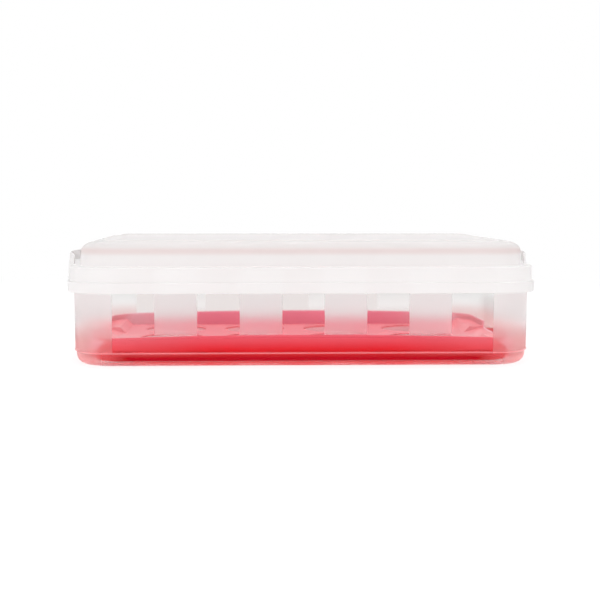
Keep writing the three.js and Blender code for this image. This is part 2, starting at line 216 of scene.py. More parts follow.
class TraySettings(bpy.types.PropertyGroup):
    """Sizes and finish of the tray"""

    end_gap: length("End gap", "Between the tray and the container's ends", 10.7)
    side_gap: length("Side gap", "Between the tray and the long walls", 4.2)
    corner_radius: length("Corner radius", "Upright corners, outside", 28.0)
    wall: length("Wall", "Thickness of the wall", 1.8)
    floor: length("Floor", "Thickness of the floor", 1.8)
    floor_height: length("Floor height", "Top of the floor above the foot", 9.3)
    wall_rise: length("Wall rise", "Upper edge above the floor", 14.4)
    arch_drop: length("Arch drop", "How much lower the wall is at the ends", 3.2)
    draft: length("Draft", "Lean of the wall", 0.6)
    foot_inset: length("Foot inset", "How far the foot draws in", 4.5)
    foot_height: length("Foot height", "Height of the rounded foot", 6.0)
    lip_proud: length("Lip relief", "How far the upper edge stands proud", 0.5)
    lip_height: length("Lip height", "Height of the upper edge", 1.8)
    well_diameter: length("Well diameter", "Round wells in the floor", 61.0)
    well_pitch_x: length("Well pitch along", "Between wells, lengthwise", 80.0)
    well_pitch_y: length("Well pitch across", "Between wells, crosswise", 70.0)
    wells_along: whole_number("Wells along", "Number lengthwise", 4)
    wells_across: whole_number("Wells across", "Number crosswise", 3)
    land_length: length("Land length", "Raised ends of the floor", 21.0)
    land_slope: length("Land slope", "Length of the slope up to a land", 6.0)
    land_rise: length("Land rise", "Height of a land above the floor", 5.9)
    notch_width: length("Notch width", "Finger notch in each end wall", 62.0)
    notch_round: length("Notch round", "Radius of the notch's corners", 4.0)
    ramp_length: length("Ramp length", "Ramp up to the finger tab", 16.5)
    ramp_rise: length("Ramp rise", "Height of the finger tab", 4.2)
    tab_round: length("Tab round", "Radius of the tab's corners", 7.0)
    tab_gap: length("Tab gap", "Between the tab and the container", 1.5)
    bend_round: length("Bend round", "Radius of the floor's bends", 0.9)
    tint: colour("Tint", "Colour of the floor and wells", (1.0, 0.33, 0.39))
    floor_tint: colour("Floor tint", "Colour that the floor scatters", (1.0, 0.44, 0.47))
    floor_milk: share("Floor milk", "Share of light that the floor scatters back", 0.5)
    inside_tint: colour("Inside tint", "Colour that the wall scatters", (1.0, 0.29, 0.4))
    far_inside_tint: colour("Far inside tint", "The same at the ends", (1.0, 0.62, 0.7))
    inside_milk: share("Inside milk", "Share of light that its inside scatters", 0.75)
    far_tint: colour("Far tint", "Colour of the floor and wells at the ends", (1.0, 0.55, 0.6))
    # The tray's wall below its floor is near white: painted light that stands for the light seen
    # through the wells
    under_tint: colour("Under tint", "Colour of the wall below the floor", (1.0, 0.95, 0.95))
    wall_tint: colour("Wall tint", "Colour of the wall's upper edge", (0.77, 0.185, 0.23))
    # Deeper, darker red towards the wall's foot: painted shade
    low_tint: colour("Low tint", "Colour of the wall above its foot", (0.72, 0.008, 0.013))
    far_wall_tint: colour("Far wall tint", "Colour of the wall at the ends", (0.95, 0.34, 0.38))
    # Near-black red at the foot: painted shade
    deep_tint: colour("Deep tint", "Colour of the foot", (0.36, 0.0, 0.002))
    deep_reach: length("Deep reach", "Half the length of the deep colour", 166.0)
    stain: colour("Stain", "Colour of the lamp light that passes", (0.995, 0.5, 0.54))
    clearness: share("Clearness", "Share of light that passes unscattered", 0.8)
    passing: share("Passing", "Share of lamp light that passes straight", 1.0)
    under_veil: share("Under veil", "Light scattered through below the floor", 0.9)
    milk: share("Milk", "Share of light that the wall's outside scatters back", 0.25)
    outer_frost: share("Outer frost", "Roughness of the wall's outside", 0.4)
    gloss: share("Gloss", "Roughness of the surface", 0.12)
    bending: number("Bending", "How much the plastic bends light", 1.2)
    sheen: share("Sheen", "Strength of the reflections", 1.0)


class StageSettings(bpy.types.PropertyGroup):
    """Floor, light and camera"""

    floor_size: length("Floor size", "Side of the floor", 6000.0)
    floor_tint: colour("Floor tint", "Colour of the floor", (0.98, 0.98, 0.98))
    floor_shine: share("Floor shine", "Share of plain white in the floor that is seen", 0.6)
    sky: number("Sky", "Strength of the light from all round", 1.0)
    key_power: number("Key power", "Watts of the lamp at the left", 9.6)
    fill_power: number("Fill power", "Watts of the lamp at the right", 4.3)
    top_power: number("Top power", "Watts of the lamp overhead", 4.3)


# Node trees


def both_forms(operation):
    """An operator of a wire, and its reflected form, as a Math node with this operation."""
    return (
        lambda self, other: self.plan.maths(operation, self, other),
        lambda self, other: self.plan.maths(operation, other, self),
    )


class Wire:
    """A socket of a node tree. A sum with it adds a Math node to that tree."""

    __add__, __radd__ = both_forms("ADD")
    __sub__, __rsub__ = both_forms("SUBTRACT")
    __mul__, __rmul__ = both_forms("MULTIPLY")
    __truediv__, __rtruediv__ = both_forms("DIVIDE")

    def __init__(self, plan, socket):
        self.plan = plan
        self.socket = socket

    def __abs__(self):
        return self.plan.maths("ABSOLUTE", self)


class Plan:
    """A node tree under construction, for a material, the world or geometry."""

    def __init__(self, tree):
        self.tree = tree

    def node(self, kind, settings=None, sockets=None, out=0):
        """Adds a node: its settings first, then its sockets' values or links. Gives one output."""
        made = self.tree.nodes.new(kind)
        for name, value in (settings or {}).items():
            setattr(made, name, value)
        for key, value in (sockets or {}).items():
            if isinstance(value, Wire):
                self.tree.links.new(value.socket, made.inputs[key])
            else:
                made.inputs[key].default_value = value
        return Wire(self, made.outputs[out]) if made.outputs else made

    def maths(self, operation, *values):
        """The result of a Math node on these values."""
        return self.node("ShaderNodeMath", {"operation": operation}, dict(enumerate(values)))

    def axis(self, where, name):
        """The points' X, Y or Z."""
        return self.node("ShaderNodeSeparateXYZ", None, {0: where}, name)

    def rise(self, value, span, start=0.0):
        """0 before a span and 1 past it, smooth between. The span is counted from start."""
        return self.node(
            "ShaderNodeMapRange",
            {"interpolation_type": "SMOOTHSTEP"},
            {"Value": value, "From Min": start + span[0], "From Max": start + span[1]},
        )

    def fall(self, value, span, start=0.0):
        """1 before a span and 0 past it."""
        return 1 - self.rise(value, span, start)

    def band(self, value, rising, falling, start=0.0):
        """1 between two spans and 0 outside them."""
        return self.rise(value, rising, start) * self.fall(value, falling, start)

    def blend(self, factor, first, second):
        """A colour between two, each a wire or a plain colour."""
        first, second = (c if isinstance(c, Wire) else opaque(c) for c in (first, second))
        return self.node(
            "ShaderNodeMix", {"data_type": "RGBA"}, {0: factor, 6: first, 7: second}, 2
        )

    def paint(self, colour_below, *coats):
        """A colour with others laid over it, each by its own mask."""
        for mask, coat in coats:
            colour_below = self.blend(mask, colour_below, coat)
        return colour_below

    def ray(self, kind):
        """1 for light of a kind, such as Camera or Shadow, and 0 for other light."""
        return self.node("ShaderNodeLightPath", out=f"Is {kind} Ray")

    def noise(self, where, scale, detail=2.0, roughness=0.5):
        """Soft noise between 0 and 1."""
        return self.node(
            "ShaderNodeTexNoise",
            None,
            {"Vector": where, "Scale": scale, "Detail": detail, "Roughness": roughness},
        )

    def bump(self, strength, height):
        """Fine bumps in the surface."""
        return self.node(
            "ShaderNodeBump",
            None,
            {"Strength": strength, "Distance": BUMP_DEPTH, "Height": height},
        )


def opaque(tint):
    """A colour socket's four values."""
    return (*tint, 1.0)


def between(mask, first, second):
    """A number between two."""
    return first + mask * (second - first)


def vary(noise, amount):
    """A change up and down, over an amount in all."""
    return (noise - 0.5) * amount


def span(low, high):
    """Two places, in millimetres, between which a finish changes."""
    return low * MM, high * MM


def new_material(name):
    """An empty material with its plan and the points of the surface."""
    material = bpy.data.materials.new(name)
    material.use_nodes = True
    material.node_tree.nodes.clear()
    plan = Plan(material.node_tree)
    where = plan.node("ShaderNodeTexCoord", out="Object")
    return material, plan, where


def close_material(plan, shader):
    """Makes a shader the material's surface."""
    plan.node("ShaderNodeOutputMaterial", None, {"Surface": shader})


# How a layer scatters light: back from its own side, or through from the other
BACK = "ShaderNodeBsdfDiffuse"
THROUGH = "ShaderNodeBsdfTranslucent"

# The fine noise of the grain, and how deep its bumps are at full strength
GRAIN_DETAIL, GRAIN_ROUGHNESS = 3.0, 0.6
BUMP_DEPTH = 0.02 * MM

# A plastic's texture: the scales of its grain and its clouds, how far each changes the
# roughness, the clouds' shade and the strength of the grain's bumps
Texture = namedtuple("Texture", "grain grain_change cloud cloud_change shade bumps")
FROST = Texture(1400.0, 0.06, 9.0, 0.03, shade=0.985, bumps=0.25)
SATIN = Texture(1200.0, 0.08, 7.0, 0.05, shade=0.97, bumps=0.25)
GLOSS = Texture(900.0, 0.05, 12.0, 0.0, shade=0.96, bumps=0.15)


def textured(plan, where, texture, tint):
    """A texture's grain, the change it makes in the roughness, and its clouded colour."""
    grain = plan.noise(where, texture.grain, GRAIN_DETAIL, GRAIN_ROUGHNESS)
    cloud = plan.noise(where, texture.cloud)
    change = vary(grain, texture.grain_change) + vary(cloud, texture.cloud_change)
    return grain, change, plan.blend(cloud, Vector(tint) * texture.shade, tint)


def close_clear_plastic(plan, look, colour_here, roughness, bump, *layers):
    """Closes a clear plastic whose light, from lamps and from all round, passes straight.

    Each layer is a mask, the kind of scattering that it adds, and its colour."""
    plastic = plan.node(
        "ShaderNodeBsdfPrincipled",
        None,
        {
            "Base Color": colour_here,
            "Roughness": roughness,
            "Normal": bump,
            "IOR": look.bending,
            "Specular Tint": opaque([look.sheen] * 3),
            "Transmission Weight": look.clearness,
        },
    )
    for mask, kind, tint in layers:
        scattering = plan.node(kind, None, {"Color": opaque(tint)})
        plastic = plan.node("ShaderNodeMixShader", None, {0: mask, 1: plastic, 2: scattering})
    by = plan.node("ShaderNodeBsdfTransparent", None, {"Color": opaque(look.stain)})
    factor = (plan.ray("Shadow") + plan.ray("Diffuse")) * look.passing
    close_material(plan, plan.node("ShaderNodeMixShader", None, {0: factor, 1: plastic, 2: by}))


def outline_distance(plan, x, y, half_length, half_depth, radius):
    """Distance from a rounded rectangle, less than 0 inside it. Far inside it stays even."""
    past_x = plan.maths("MAXIMUM", abs(x) - (half_length - radius), 0.0)
    past_y = plan.maths("MAXIMUM", abs(y) - (half_depth - radius), 0.0)
    return plan.maths("SQRT", past_x * past_x + past_y * past_y) - radius


# Close to any place
JUST_BEFORE, JUST_PAST = span(-0.5, 0), span(0, 0.5)

# The container's finish: heights from the raised line's foot, and from the table
# Heights of the painted highlight along the raised line
LINE_HIGHLIGHT_RISE, LINE_HIGHLIGHT_FALL = span(-0.2, 0.1), span(0.5, 0.8)
# Up to this height the bottom edge takes the painted red glow of the tray
FOOT_HAZE = span(3.5, 5.5)
END_HAZE = span(20, 38)
STRIPE_RISE = span(25, 33)
LOW_POLISH = span(27, 30)
VEIL_RISE = span(35, 55)

# The container's finish: places from a band's edge, from the last band and from the middle
BAND_EDGE, MIDDLE_END, FOOT_REACH = span(-0.5, 0.5), span(-2, 24), span(120, 200)

# The container's finish: places in from its outside
LONG_WALL, SHORT_WALL, OUTER_RING = span(-14, -12), span(-6, -1.5), span(-12, -9)


def frosted_plastic(look):
    """Polypropylene with a fine frost, and clear upright bands along its two long walls."""
    material, plan, where = new_material("frosted_plastic")
    x, y, z = (plan.axis(where, name) for name in "XYZ")
    half_length, half_depth = look.length / 2, look.depth / 2
    line_foot = look.step_height
    line_top = line_foot + look.step_width

    from_window = plan.maths("PINGPONG", x, look.window_width)
    along = plan.fall(from_window, BAND_EDGE, look.window_width / 2)
    within = plan.fall(abs(x), BAND_EDGE, look.window_reach)
    on_wall = plan.rise(abs(y), LONG_WALL, half_depth)
    window = along * within * on_wall * plan.rise(z, JUST_PAST, line_top)
    past_middle = plan.rise(abs(x), MIDDLE_END, look.window_reach)
    near_middle = within + (1 - past_middle - within) * plan.fall(z, JUST_BEFORE, line_foot)
    at_ends = 1 - near_middle
    stripes = near_middle * on_wall
    low_end = at_ends * plan.fall(z, END_HAZE)
    from_edge = outline_distance(plan, x, y, half_length, half_depth, look.corner_radius)
    ring = plan.rise(from_edge, OUTER_RING)
    veil = between(at_ends, look.veil, look.high_end_veil)
    veil = (1 - window) * plan.rise(z, VEIL_RISE) * veil
    # Where the bottom edge takes the painted red glow of the tray
    foot = plan.fall(z, FOOT_HAZE) * plan.fall(abs(x), FOOT_REACH)
    # Mask of the painted highlight along the raised line
    line = plan.band(z, LINE_HIGHLIGHT_RISE, LINE_HIGHLIGHT_FALL, line_foot)
    on_floor = plan.fall(z, JUST_PAST, look.foot_recess + look.floor) * (1 - ring)

    grain, change, clouded = textured(plan, where, FROST, look.tint)
    roughness = between(low_end, look.frost, look.end_frost) + change
    roughness = between(stripes * plan.fall(z, LOW_POLISH), roughness, look.low_frost)
    roughness = between(window, roughness, look.polish)
    # Below the tray's upper edge the frosted stripes take the clear bands' grey painted shade
    stripe = plan.blend(plan.rise(z, STRIPE_RISE), look.band_tint, look.stripe_tint)
    colour_here = plan.paint(
        clouded,
        # The short walls take grey painted shade
        (plan.rise(abs(x), SHORT_WALL, half_length), look.side_tint),
        (stripes, stripe),
        # The clear bands: grey painted shade
        (window, look.band_tint),
    )
    close_clear_plastic(
        plan,
        look,
        colour_here,
        roughness,
        plan.bump(FROST.bumps, vary(grain, 1 - window)),
        (veil, THROUGH, look.veil_tint),
        # Pink painted glow of the tray in the frost at the ends, near the foot
        (low_end * ring * look.end_veil, THROUGH, look.haze_tint),
        # Red painted glow of the tray at the bottom edge
        (foot * ring * look.foot_veil, THROUGH, look.foot_tint),
        (on_floor * look.floor_milk, BACK, look.stain),
        # Pink painted highlight along the raised line
        (line * look.line_milk, BACK, look.line_tint),
    )
    return material


# The lid's painted shade and painted reflection: heights from the ledge, and below the crown
DOME_FOOT = span(0.2, 0.8)
SHOULDER_RISE, SHOULDER_FALL = span(-9, -5), span(-2.2, -1)
# Heights of the painted pink reflection of the tray, below the crown
TRAY_REFLECTION_RISE, TRAY_REFLECTION_FALL = span(-14, -9.5), span(-8.5, -5)


def lid_plastic(look):
    """Milkier polypropylene with a satin surface."""
    material, plan, where = new_material("lid_plastic")
    z = plan.axis(where, "Z")
    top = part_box("lid")[1].z
    grain, change, clouded = textured(plan, where, SATIN, look.tint)
    colour_here = plan.paint(
        clouded,
        # The dome takes grey painted shade
        (plan.rise(z, DOME_FOOT, top - look.dome_rise), look.dome_tint),
        # The shoulder takes darker grey painted shade
        (plan.band(z, SHOULDER_RISE, SHOULDER_FALL, top), look.shoulder_tint),
        # Painted pink reflection of the tray below the shoulder
        (plan.band(z, TRAY_REFLECTION_RISE, TRAY_REFLECTION_FALL, top), look.blush_tint),
    )
    bump = plan.bump(SATIN.bumps, grain)
    close_clear_plastic(plan, look, colour_here, look.frost + change, bump)
    return material


# The tray's finish: heights from its foot, from its upper edge and from its floor's faces
# Heights of the painted shade: the deep shade at the foot and the darker low wall
DEEP_SHADE_HEIGHT, UP_FROM = span(4, 9), 9.5 * MM
UP_TO = 1.5 * MM
FLOOR_SKIN, FLOOR_LEVEL, UNDERSIDE = span(-0.7, -0.3), span(-0.3, 0.3), span(-0.6, -0.2)

# The tray's finish: places from its middle, from the painted deep shade's end and in from its
# outside
TOWARDS_END, FAR_WALL, FAR_WALL_SHARE = span(80, 175), span(60, 190), 0.3
DEEP_SHADE_END = span(-14, 8)
WALL_SKIN, FLOOR_EDGE = span(-1.6, -1.1), span(-3.6, -2.6)


def red_plastic(look):
    """Glossy red translucent plastic with a faint flow in its colour."""
    material, plan, where = new_material("red_plastic")
    x, y, z = (plan.axis(where, name) for name in "XYZ")
    x = abs(x)
    low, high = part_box("tray")
    half_length = (rim_high.x - RIM_PROUD * MM) - look.end_gap
    from_edge = outline_distance(plan, x, y, half_length, high.y, look.corner_radius)
    down = (low.z + look.foot_height - z) / look.foot_height
    down = plan.maths("MAXIMUM", down, 0.0)
    upright = plan.maths("SQRT", plan.maths("MAXIMUM", 1 - down * down, 0.0))
    outer = plan.rise(from_edge + look.foot_inset * (1 - upright), WALL_SKIN)
    past_floor = plan.rise(from_edge, FLOOR_EDGE)
    floor_top = low.z + look.floor_height
    on_floor = plan.rise(z, FLOOR_SKIN, floor_top) * (1 - past_floor)
    inside = (1 - outer) * past_floor * plan.rise(z, FLOOR_LEVEL, floor_top)
    under = (1 - outer) * plan.fall(z, UNDERSIDE, floor_top - look.floor)
    towards_end = plan.rise(x, TOWARDS_END)
    # Below this rise the wall takes darker painted shade towards its foot
    up = plan.rise(z, (low.z + UP_FROM, high.z + UP_TO))
    # Painted deep shade at the tray's foot
    deep = plan.fall(z, DEEP_SHADE_HEIGHT, low.z) * plan.fall(x, DEEP_SHADE_END, look.deep_reach)

    grain, change, clouded = textured(plan, where, GLOSS, look.tint)
    wall_colour = plan.paint(
        # Darker red low on the wall: painted shade
        plan.blend(up, look.low_tint, look.wall_tint),
        (plan.rise(x, FAR_WALL) * FAR_WALL_SHARE, look.far_wall_tint),
        # The foot takes painted deep shade
        (deep, look.deep_tint),
    )
    colour_here = plan.paint(
        clouded,
        (towards_end, look.far_tint),
        (outer, wall_colour),
        # Below the floor: pale painted light
        (under, look.under_tint),
    )
    close_clear_plastic(
        plan,
        look,
        colour_here,
        between(outer, look.gloss, look.outer_frost) + change,
        plan.bump(GLOSS.bumps, grain),
        # Pale painted light scattered through below the floor
        (under * look.under_veil, THROUGH, look.under_tint),
        (outer * up * look.milk, BACK, look.wall_tint),
        # Painted shade, scattered back low on the wall's outside
        (outer * (1 - up) * look.milk, BACK, look.low_tint),
        (on_floor * look.floor_milk, BACK, look.floor_tint),
        (inside * towards_end * look.inside_milk, BACK, look.far_inside_tint),
        (inside * (1 - towards_end) * look.inside_milk, BACK, look.inside_tint),
    )
    return material


# Lines and meshes


def fillet(before, corner, after, radius):
    """Points of the arc that rounds a corner between two others."""
    to_before = (Vector(before) - Vector(corner)).normalized()
    to_after = (Vector(after) - Vector(corner)).normalized()
    half_angle = to_before.angle(to_after) / 2
    reach = radius / math.tan(half_angle)
    middle = Vector(corner) + (to_before + to_after).normalized() * radius / math.sin(half_angle)
    start = Vector(corner) + to_before * reach - middle
    turn = to_before.angle_signed(-to_after)
    return [
        middle + Matrix.Rotation(-turn * i / FILLET_STEPS, 2) @ start
        for i in range(FILLET_STEPS + 1)
    ]


def rounded_line(corners, closed=False):
    """The points of a line through (x, z, radius) corners, each rounded by its radius."""
    points = []
    last = len(corners) - 1
    for i, (x, z, *radius) in enumerate(corners):
        ends = not closed and i in (0, last)
        if radius and not ends:
            before, after = corners[i - 1], corners[(i + 1) % len(corners)]
            points += fillet(before[:2], (x, z), after[:2], radius[0])
        else:
            points.append(Vector((x, z)))
    return points


def quarter_ellipse(start, end, leaves_upright, steps=SHOULDER_STEPS):
    """The points after start on a quarter ellipse, which leaves start upright or level."""
    wide, high = end[0] - start[0], end[1] - start[1]
    points = []
    for i in range(1, steps + 1):
        angle = math.pi / 2 * i / steps
        early, late = math.sin(angle), 1 - math.cos(angle)
        across, along = (late, early) if leaves_upright else (early, late)
        points.append((start[0] + wide * across, start[1] + high * along))
    return points


def rectangle(half_x, half_y):
    """The corners of a rectangle round the middle."""
    return [(-half_x, -half_y), (half_x, -half_y), (half_x, half_y), (-half_x, half_y)]


def mesh_object(name, points, edges=(), faces=()):
    """A mesh object in the scene, at the origin."""
    mesh = bpy.data.meshes.new(name)
    mesh.from_pydata([tuple(p) for p in points], list(edges), list(faces))
    made = bpy.data.objects.new(name, mesh)
    bpy.context.scene.collection.objects.link(made)
    return made


def settle(piece):
    """Turns a piece's modifiers into its plain mesh."""
    settled = bpy.data.meshes.new_from_object(
        piece.evaluated_get(bpy.context.evaluated_depsgraph_get())
    )
    piece.modifiers.clear()
    old, piece.data = piece.data, settled
    settled.name = piece.name
    bpy.data.meshes.remove(old)
    return piece


def discard(*pieces):
    """Removes helper objects and their meshes."""
    for piece in pieces:
        mesh = piece.data
        bpy.data.objects.remove(piece)
        bpy.data.meshes.remove(mesh)


def outward(piece):
    """Merges doubled points, closes what is open and turns every face outwards."""
    work = bmesh.new()
    work.from_mesh(piece.data)
    bmesh.ops.remove_doubles(work, verts=work.verts, dist=MERGE_DISTANCE)
    bmesh.ops.dissolve_degenerate(work, edges=work.edges, dist=MERGE_DISTANCE)
    bmesh.ops.holes_fill(work, edges=[edge for edge in work.edges if edge.is_boundary])
    bmesh.ops.recalc_face_normals(work, faces=work.faces)
    work.to_mesh(piece.data)
    work.free()
    return piece


def combine(piece, other, operation):
    """Joins other to piece, cuts it out or keeps what both share. Uses other up."""
    change = piece.modifiers.new(operation, "BOOLEAN")
    change.operation = operation
    change.solver = "MANIFOLD"
    change.object = other
    settle(piece)
    discard(other)
    return piece


def loft(name, rings):
    """A closed solid through rings of points, each ring with as many as the others."""
    count = len(rings[0])
    points = [point for ring in rings for point in ring]
    faces = []
    for start in range(0, len(points) - count, count):
        for i in range(count):
            a, b = start + i, start + (i + 1) % count
            faces.append((a, b, b + count, a + count))
    faces += [tuple(range(count))[::-1], tuple(range(len(points) - count, len(points)))]
    return outward(mesh_object(name, points, faces=faces))


def prism(name, outline, lift):
    """A closed solid: outline's points, and the same points moved by lift."""
    low = [Vector(point) for point in outline]
    return loft(name, [low, [point + Vector(lift) for point in low]])


def across_y(name, line, start, end):
    """A solid whose X and Z outline is line, from one Y to another."""
    return prism(name, [(x, start, z) for x, z in line], (0, end - start, 0))


def turned_copy(piece):
    """A copy of a piece, turned half round the vertical axis."""
    copy = mesh_object(piece.name + "_turned", ())
    discarded, copy.data = copy.data, piece.data.copy()
    bpy.data.meshes.remove(discarded)
    copy.data.transform(Matrix.Rotation(math.pi, 4, "Z"))
    return copy


def at_both_ends(piece):
    """The piece together with its copy at the box's other end."""
    return combine(piece, turned_copy(piece), "UNION")


def finish_piece(piece, name, body, node, material):
    """Smooths a piece, gives it its material and ties it to the frame."""
    outward(piece)
    piece.name = name
    piece.data.materials.clear()
    piece.data.materials.append(material)
    for face in piece.data.polygons:
        face.material_index = 0
        face.use_smooth = True
    piece.data.set_sharp_from_angle(angle=SHARP_ANGLE)
    weigh = piece.modifiers.new("even_normals", "WEIGHTED_NORMAL")
    weigh.keep_sharp = True
    weigh.weight = NORMAL_WEIGHT
    settle(piece)
    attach(piece, body)
    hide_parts(node)


# Geometry trees


def new_geometry_tree(name, inputs):
    """A geometry tree with named inputs, given as name: (socket kind, default)."""
    tree = bpy.data.node_groups.new(name, "GeometryNodeTree")
    face = tree.interface
    face.new_socket("Geometry", in_out="INPUT", socket_type="NodeSocketGeometry")
    face.new_socket("Geometry", in_out="OUTPUT", socket_type="NodeSocketGeometry")
    for label, (kind, default) in inputs.items():
        socket = face.new_socket(label, in_out="INPUT", socket_type="NodeSocket" + kind)
        if default is not None:
            socket.default_value = default
    plan = Plan(tree)
    source = tree.nodes.new("NodeGroupInput")
    return plan, {s.name: Wire(plan, s) for s in source.outputs if s.name}


def close_geometry_tree(plan, result, material):
    """Ends a tree in Realize Instances and Set Material."""
    real = plan.node("GeometryNodeRealizeInstances", None, {"Geometry": result})
    sockets = {"Geometry": real, "Material": material}
    plan.node("NodeGroupOutput", None, {0: plan.node("GeometryNodeSetMaterial", None, sockets)})
    return plan.tree


def run_tree(piece, tree, values):
    """Runs a geometry tree on a piece with these input values, and keeps the plain mesh."""
    modifier = piece.modifiers.new(tree.name, "NODES")
    modifier.node_group = tree
    for item in tree.interface.items_tree:
        if item.in_out == "INPUT" and item.name in values:
            modifier[item.identifier] = values[item.name]
    return settle(piece)


def swept_shell_tree(name):
    """Carries the piece's own line, drawn as inset and height, round a rounded rectangle. The
    shell's upper part can be let down towards the ends in an arch."""
    plan, given = new_geometry_tree(
        name,
        {
            "Length": ("Float", 0.4),
            "Depth": ("Float", 0.2),
            "Corner Radius": ("Float", 0.03),
            "Even": ("Bool", False),
            "Spacing": ("Float", WALL_SPACING),
            "Arch Drop": ("Float", 0.0),
            "Arch From": ("Float", 0.0),
            "Arch To": ("Float", 1.0),
            "Material": ("Material", None),
        },
    )
    line = plan.node("GeometryNodeMeshToCurve", None, {"Mesh": given["Geometry"]})
    half_turn = {"Geometry": line, "Rotation": (0.0, 0.0, math.pi)}
    line = plan.node("GeometryNodeTransform", None, half_turn)
    path = plan.node(
        "GeometryNodeCurvePrimitiveQuadrilateral",
        {"mode": "RECTANGLE"},
        {"Width": given["Length"], "Height": given["Depth"]},
    )
    path = plan.node(
        "GeometryNodeFilletCurve",
        {"mode": "POLY"},
        {"Curve": path, "Count": CORNER_STEPS, "Radius": given["Corner Radius"]},
    )
    path = plan.node("GeometryNodeSetCurveNormal", {"mode": "Z_UP"}, {"Curve": path})
    spacing = {"Curve": path, "Length": given["Spacing"]}
    finer = plan.node("GeometryNodeResampleCurve", {"mode": "LENGTH"}, spacing)
    choice = {"Switch": given["Even"], "False": path, "True": finer}
    path = plan.node("GeometryNodeSwitch", {"input_type": "GEOMETRY"}, choice)
    shell = plan.node("GeometryNodeCurveToMesh", None, {"Curve": path, "Profile Curve": line})
    where = plan.node("GeometryNodeInputPosition")
    arch = {"From Min": given["Arch From"], "From Max": given["Arch To"]}
    rise = plan.node("ShaderNodeMapRange", None, {"Value": plan.axis(where, "Z"), **arch})
    end_share = plan.axis(where, "X") * 2.0 / given["Length"]
    drop = 0.0 - given["Arch Drop"] * rise * end_share * end_share
    offset = plan.node("ShaderNodeCombineXYZ", None, {"Z": drop})
    shell = plan.node("GeometryNodeSetPosition", None, {"Geometry": shell, "Offset": offset})
    return close_geometry_tree(plan, shell, given["Material"])


def round_wells_tree():
    """Cuts a grid of copies of one cutter out of the piece."""
    plan, given = new_geometry_tree(
        "round_wells",
        {
            "Cutter": ("Object", None),
            "Along": ("Int", 4),
            "Across": ("Int", 3),
            "Pitch Along": ("Float", 0.08),
            "Pitch Across": ("Float", 0.07),
            "Material": ("Material", None),
        },
    )
    grid = plan.node(
        "GeometryNodeMeshGrid",
        None,
        {
            "Size X": given["Pitch Along"] * (given["Along"] - 1.0),
            "Size Y": given["Pitch Across"] * (given["Across"] - 1.0),
            "Vertices X": given["Along"],
            "Vertices Y": given["Across"],
        },
    )
    cutter = plan.node("GeometryNodeObjectInfo", None, {"Object": given["Cutter"]}, "Geometry")
    copies = plan.node("GeometryNodeInstanceOnPoints", None, {"Points": grid, "Instance": cutter})
    cutters = plan.node("GeometryNodeRealizeInstances", None, {"Geometry": copies})
    cut = plan.node(
        "GeometryNodeMeshBoolean",
        {"operation": "DIFFERENCE", "solver": "MANIFOLD"},
        {"Mesh 1": given["Geometry"], "Mesh 2": cutters},
    )
    return close_geometry_tree(plan, cut, given["Material"])


def sweep(name, line, outline, material, closed=False, **values):
    """A shell swept from a line round an outline of (length, depth, corner radius). Where the
    line is open, the shell is closed flat at both of its ends."""
    count = len(line)
    edges = [(i, (i + 1) % count) for i in range(count if closed else count - 1)]
    piece = mesh_object(name, [(x, z, 0.0) for x, z in line], edges)
    inputs = dict(zip(("Length", "Depth", "Corner Radius"), outline), Even=closed)
    inputs.update(values, Material=material)
    return outward(run_tree(piece, swept_shell_tree(name + "_sweep"), inputs))


def filled_outline(name, outline, inset, low, high, material):
    """A solid that fills an outline, drawn in by an inset, between two heights."""
    return sweep(name, [(inset, low), (inset, high)], outline, material)


# Pieces


def box_outline(box):
    """Length, depth and corner radius that the container and the lid are swept round."""
    return box.length, box.depth, box.corner_radius


class CANDY_OT_container(bpy.types.Operator):
    """Build the frosted container with its clear bands"""

    bl_idname = "candy.container"
    bl_label = "Container"

    def execute(self, context):
        box = context.scene.candy_container
        foot = box.foot_inset
        floor_top = box.foot_recess + box.floor
        line_foot = box.step_height
        line_top = line_foot + box.step_width
        small = CONTAINER_EDGE
        lip_out = -(box.draft + box.lip_reach)
        lip_foot = box.height - box.lip_height
        rim_in = box.wall - box.draft
        corners = [
            (foot + box.foot_width + box.foot_recess, box.foot_recess),
            (foot + box.foot_width, 0.0, small),
            (box.step_inset, 0.0, box.base_round),
            (box.step_inset, line_foot - box.step_width / 2, small),
            (-box.step_proud, line_foot + box.step_width / 4, small),
            (-box.step_proud, line_top - box.step_width / 4, small / 2),
            (0.0, line_top + box.step_width / 4, small / 2),
            (-box.draft, lip_foot - small, small / 2),
            (lip_out, lip_foot + small / 2, small),
            (lip_out, box.height, 2 * small),
            (rim_in, box.height, small),
            (box.wall, line_top + box.wall, 2 * small),
            (box.step_inset + box.wall, line_top, 2 * small),
            (box.step_inset + box.wall, floor_top, box.base_round - box.wall),
            (foot + box.foot_width, floor_top),
        ]
        material = frosted_plastic(box)
        shell = sweep("container_shell", rounded_line(corners), box_outline(box), material)
        finish_piece(shell, shell.name, "container", "container", material)
        return {"FINISHED"}


class LidLevels:
    """Heights, and insets from the container's outline, that the lid's parts share."""

    def __init__(self, box, lid):
        self.ledge_top = box.height + SEAT + lid.wall
        self.band = -(box.draft + box.lip_reach + lid.clearance + lid.wall)
        self.skirt = self.band - lid.skirt_flare
        self.dome = self.band + lid.ledge_width
        self.band_foot = self.ledge_top - lid.band_height
        self.skirt_foot = self.band_foot - lid.skirt_height
        self.crown_top = self.ledge_top + lid.dome_rise
        self.half_length = box.length / 2 - self.band


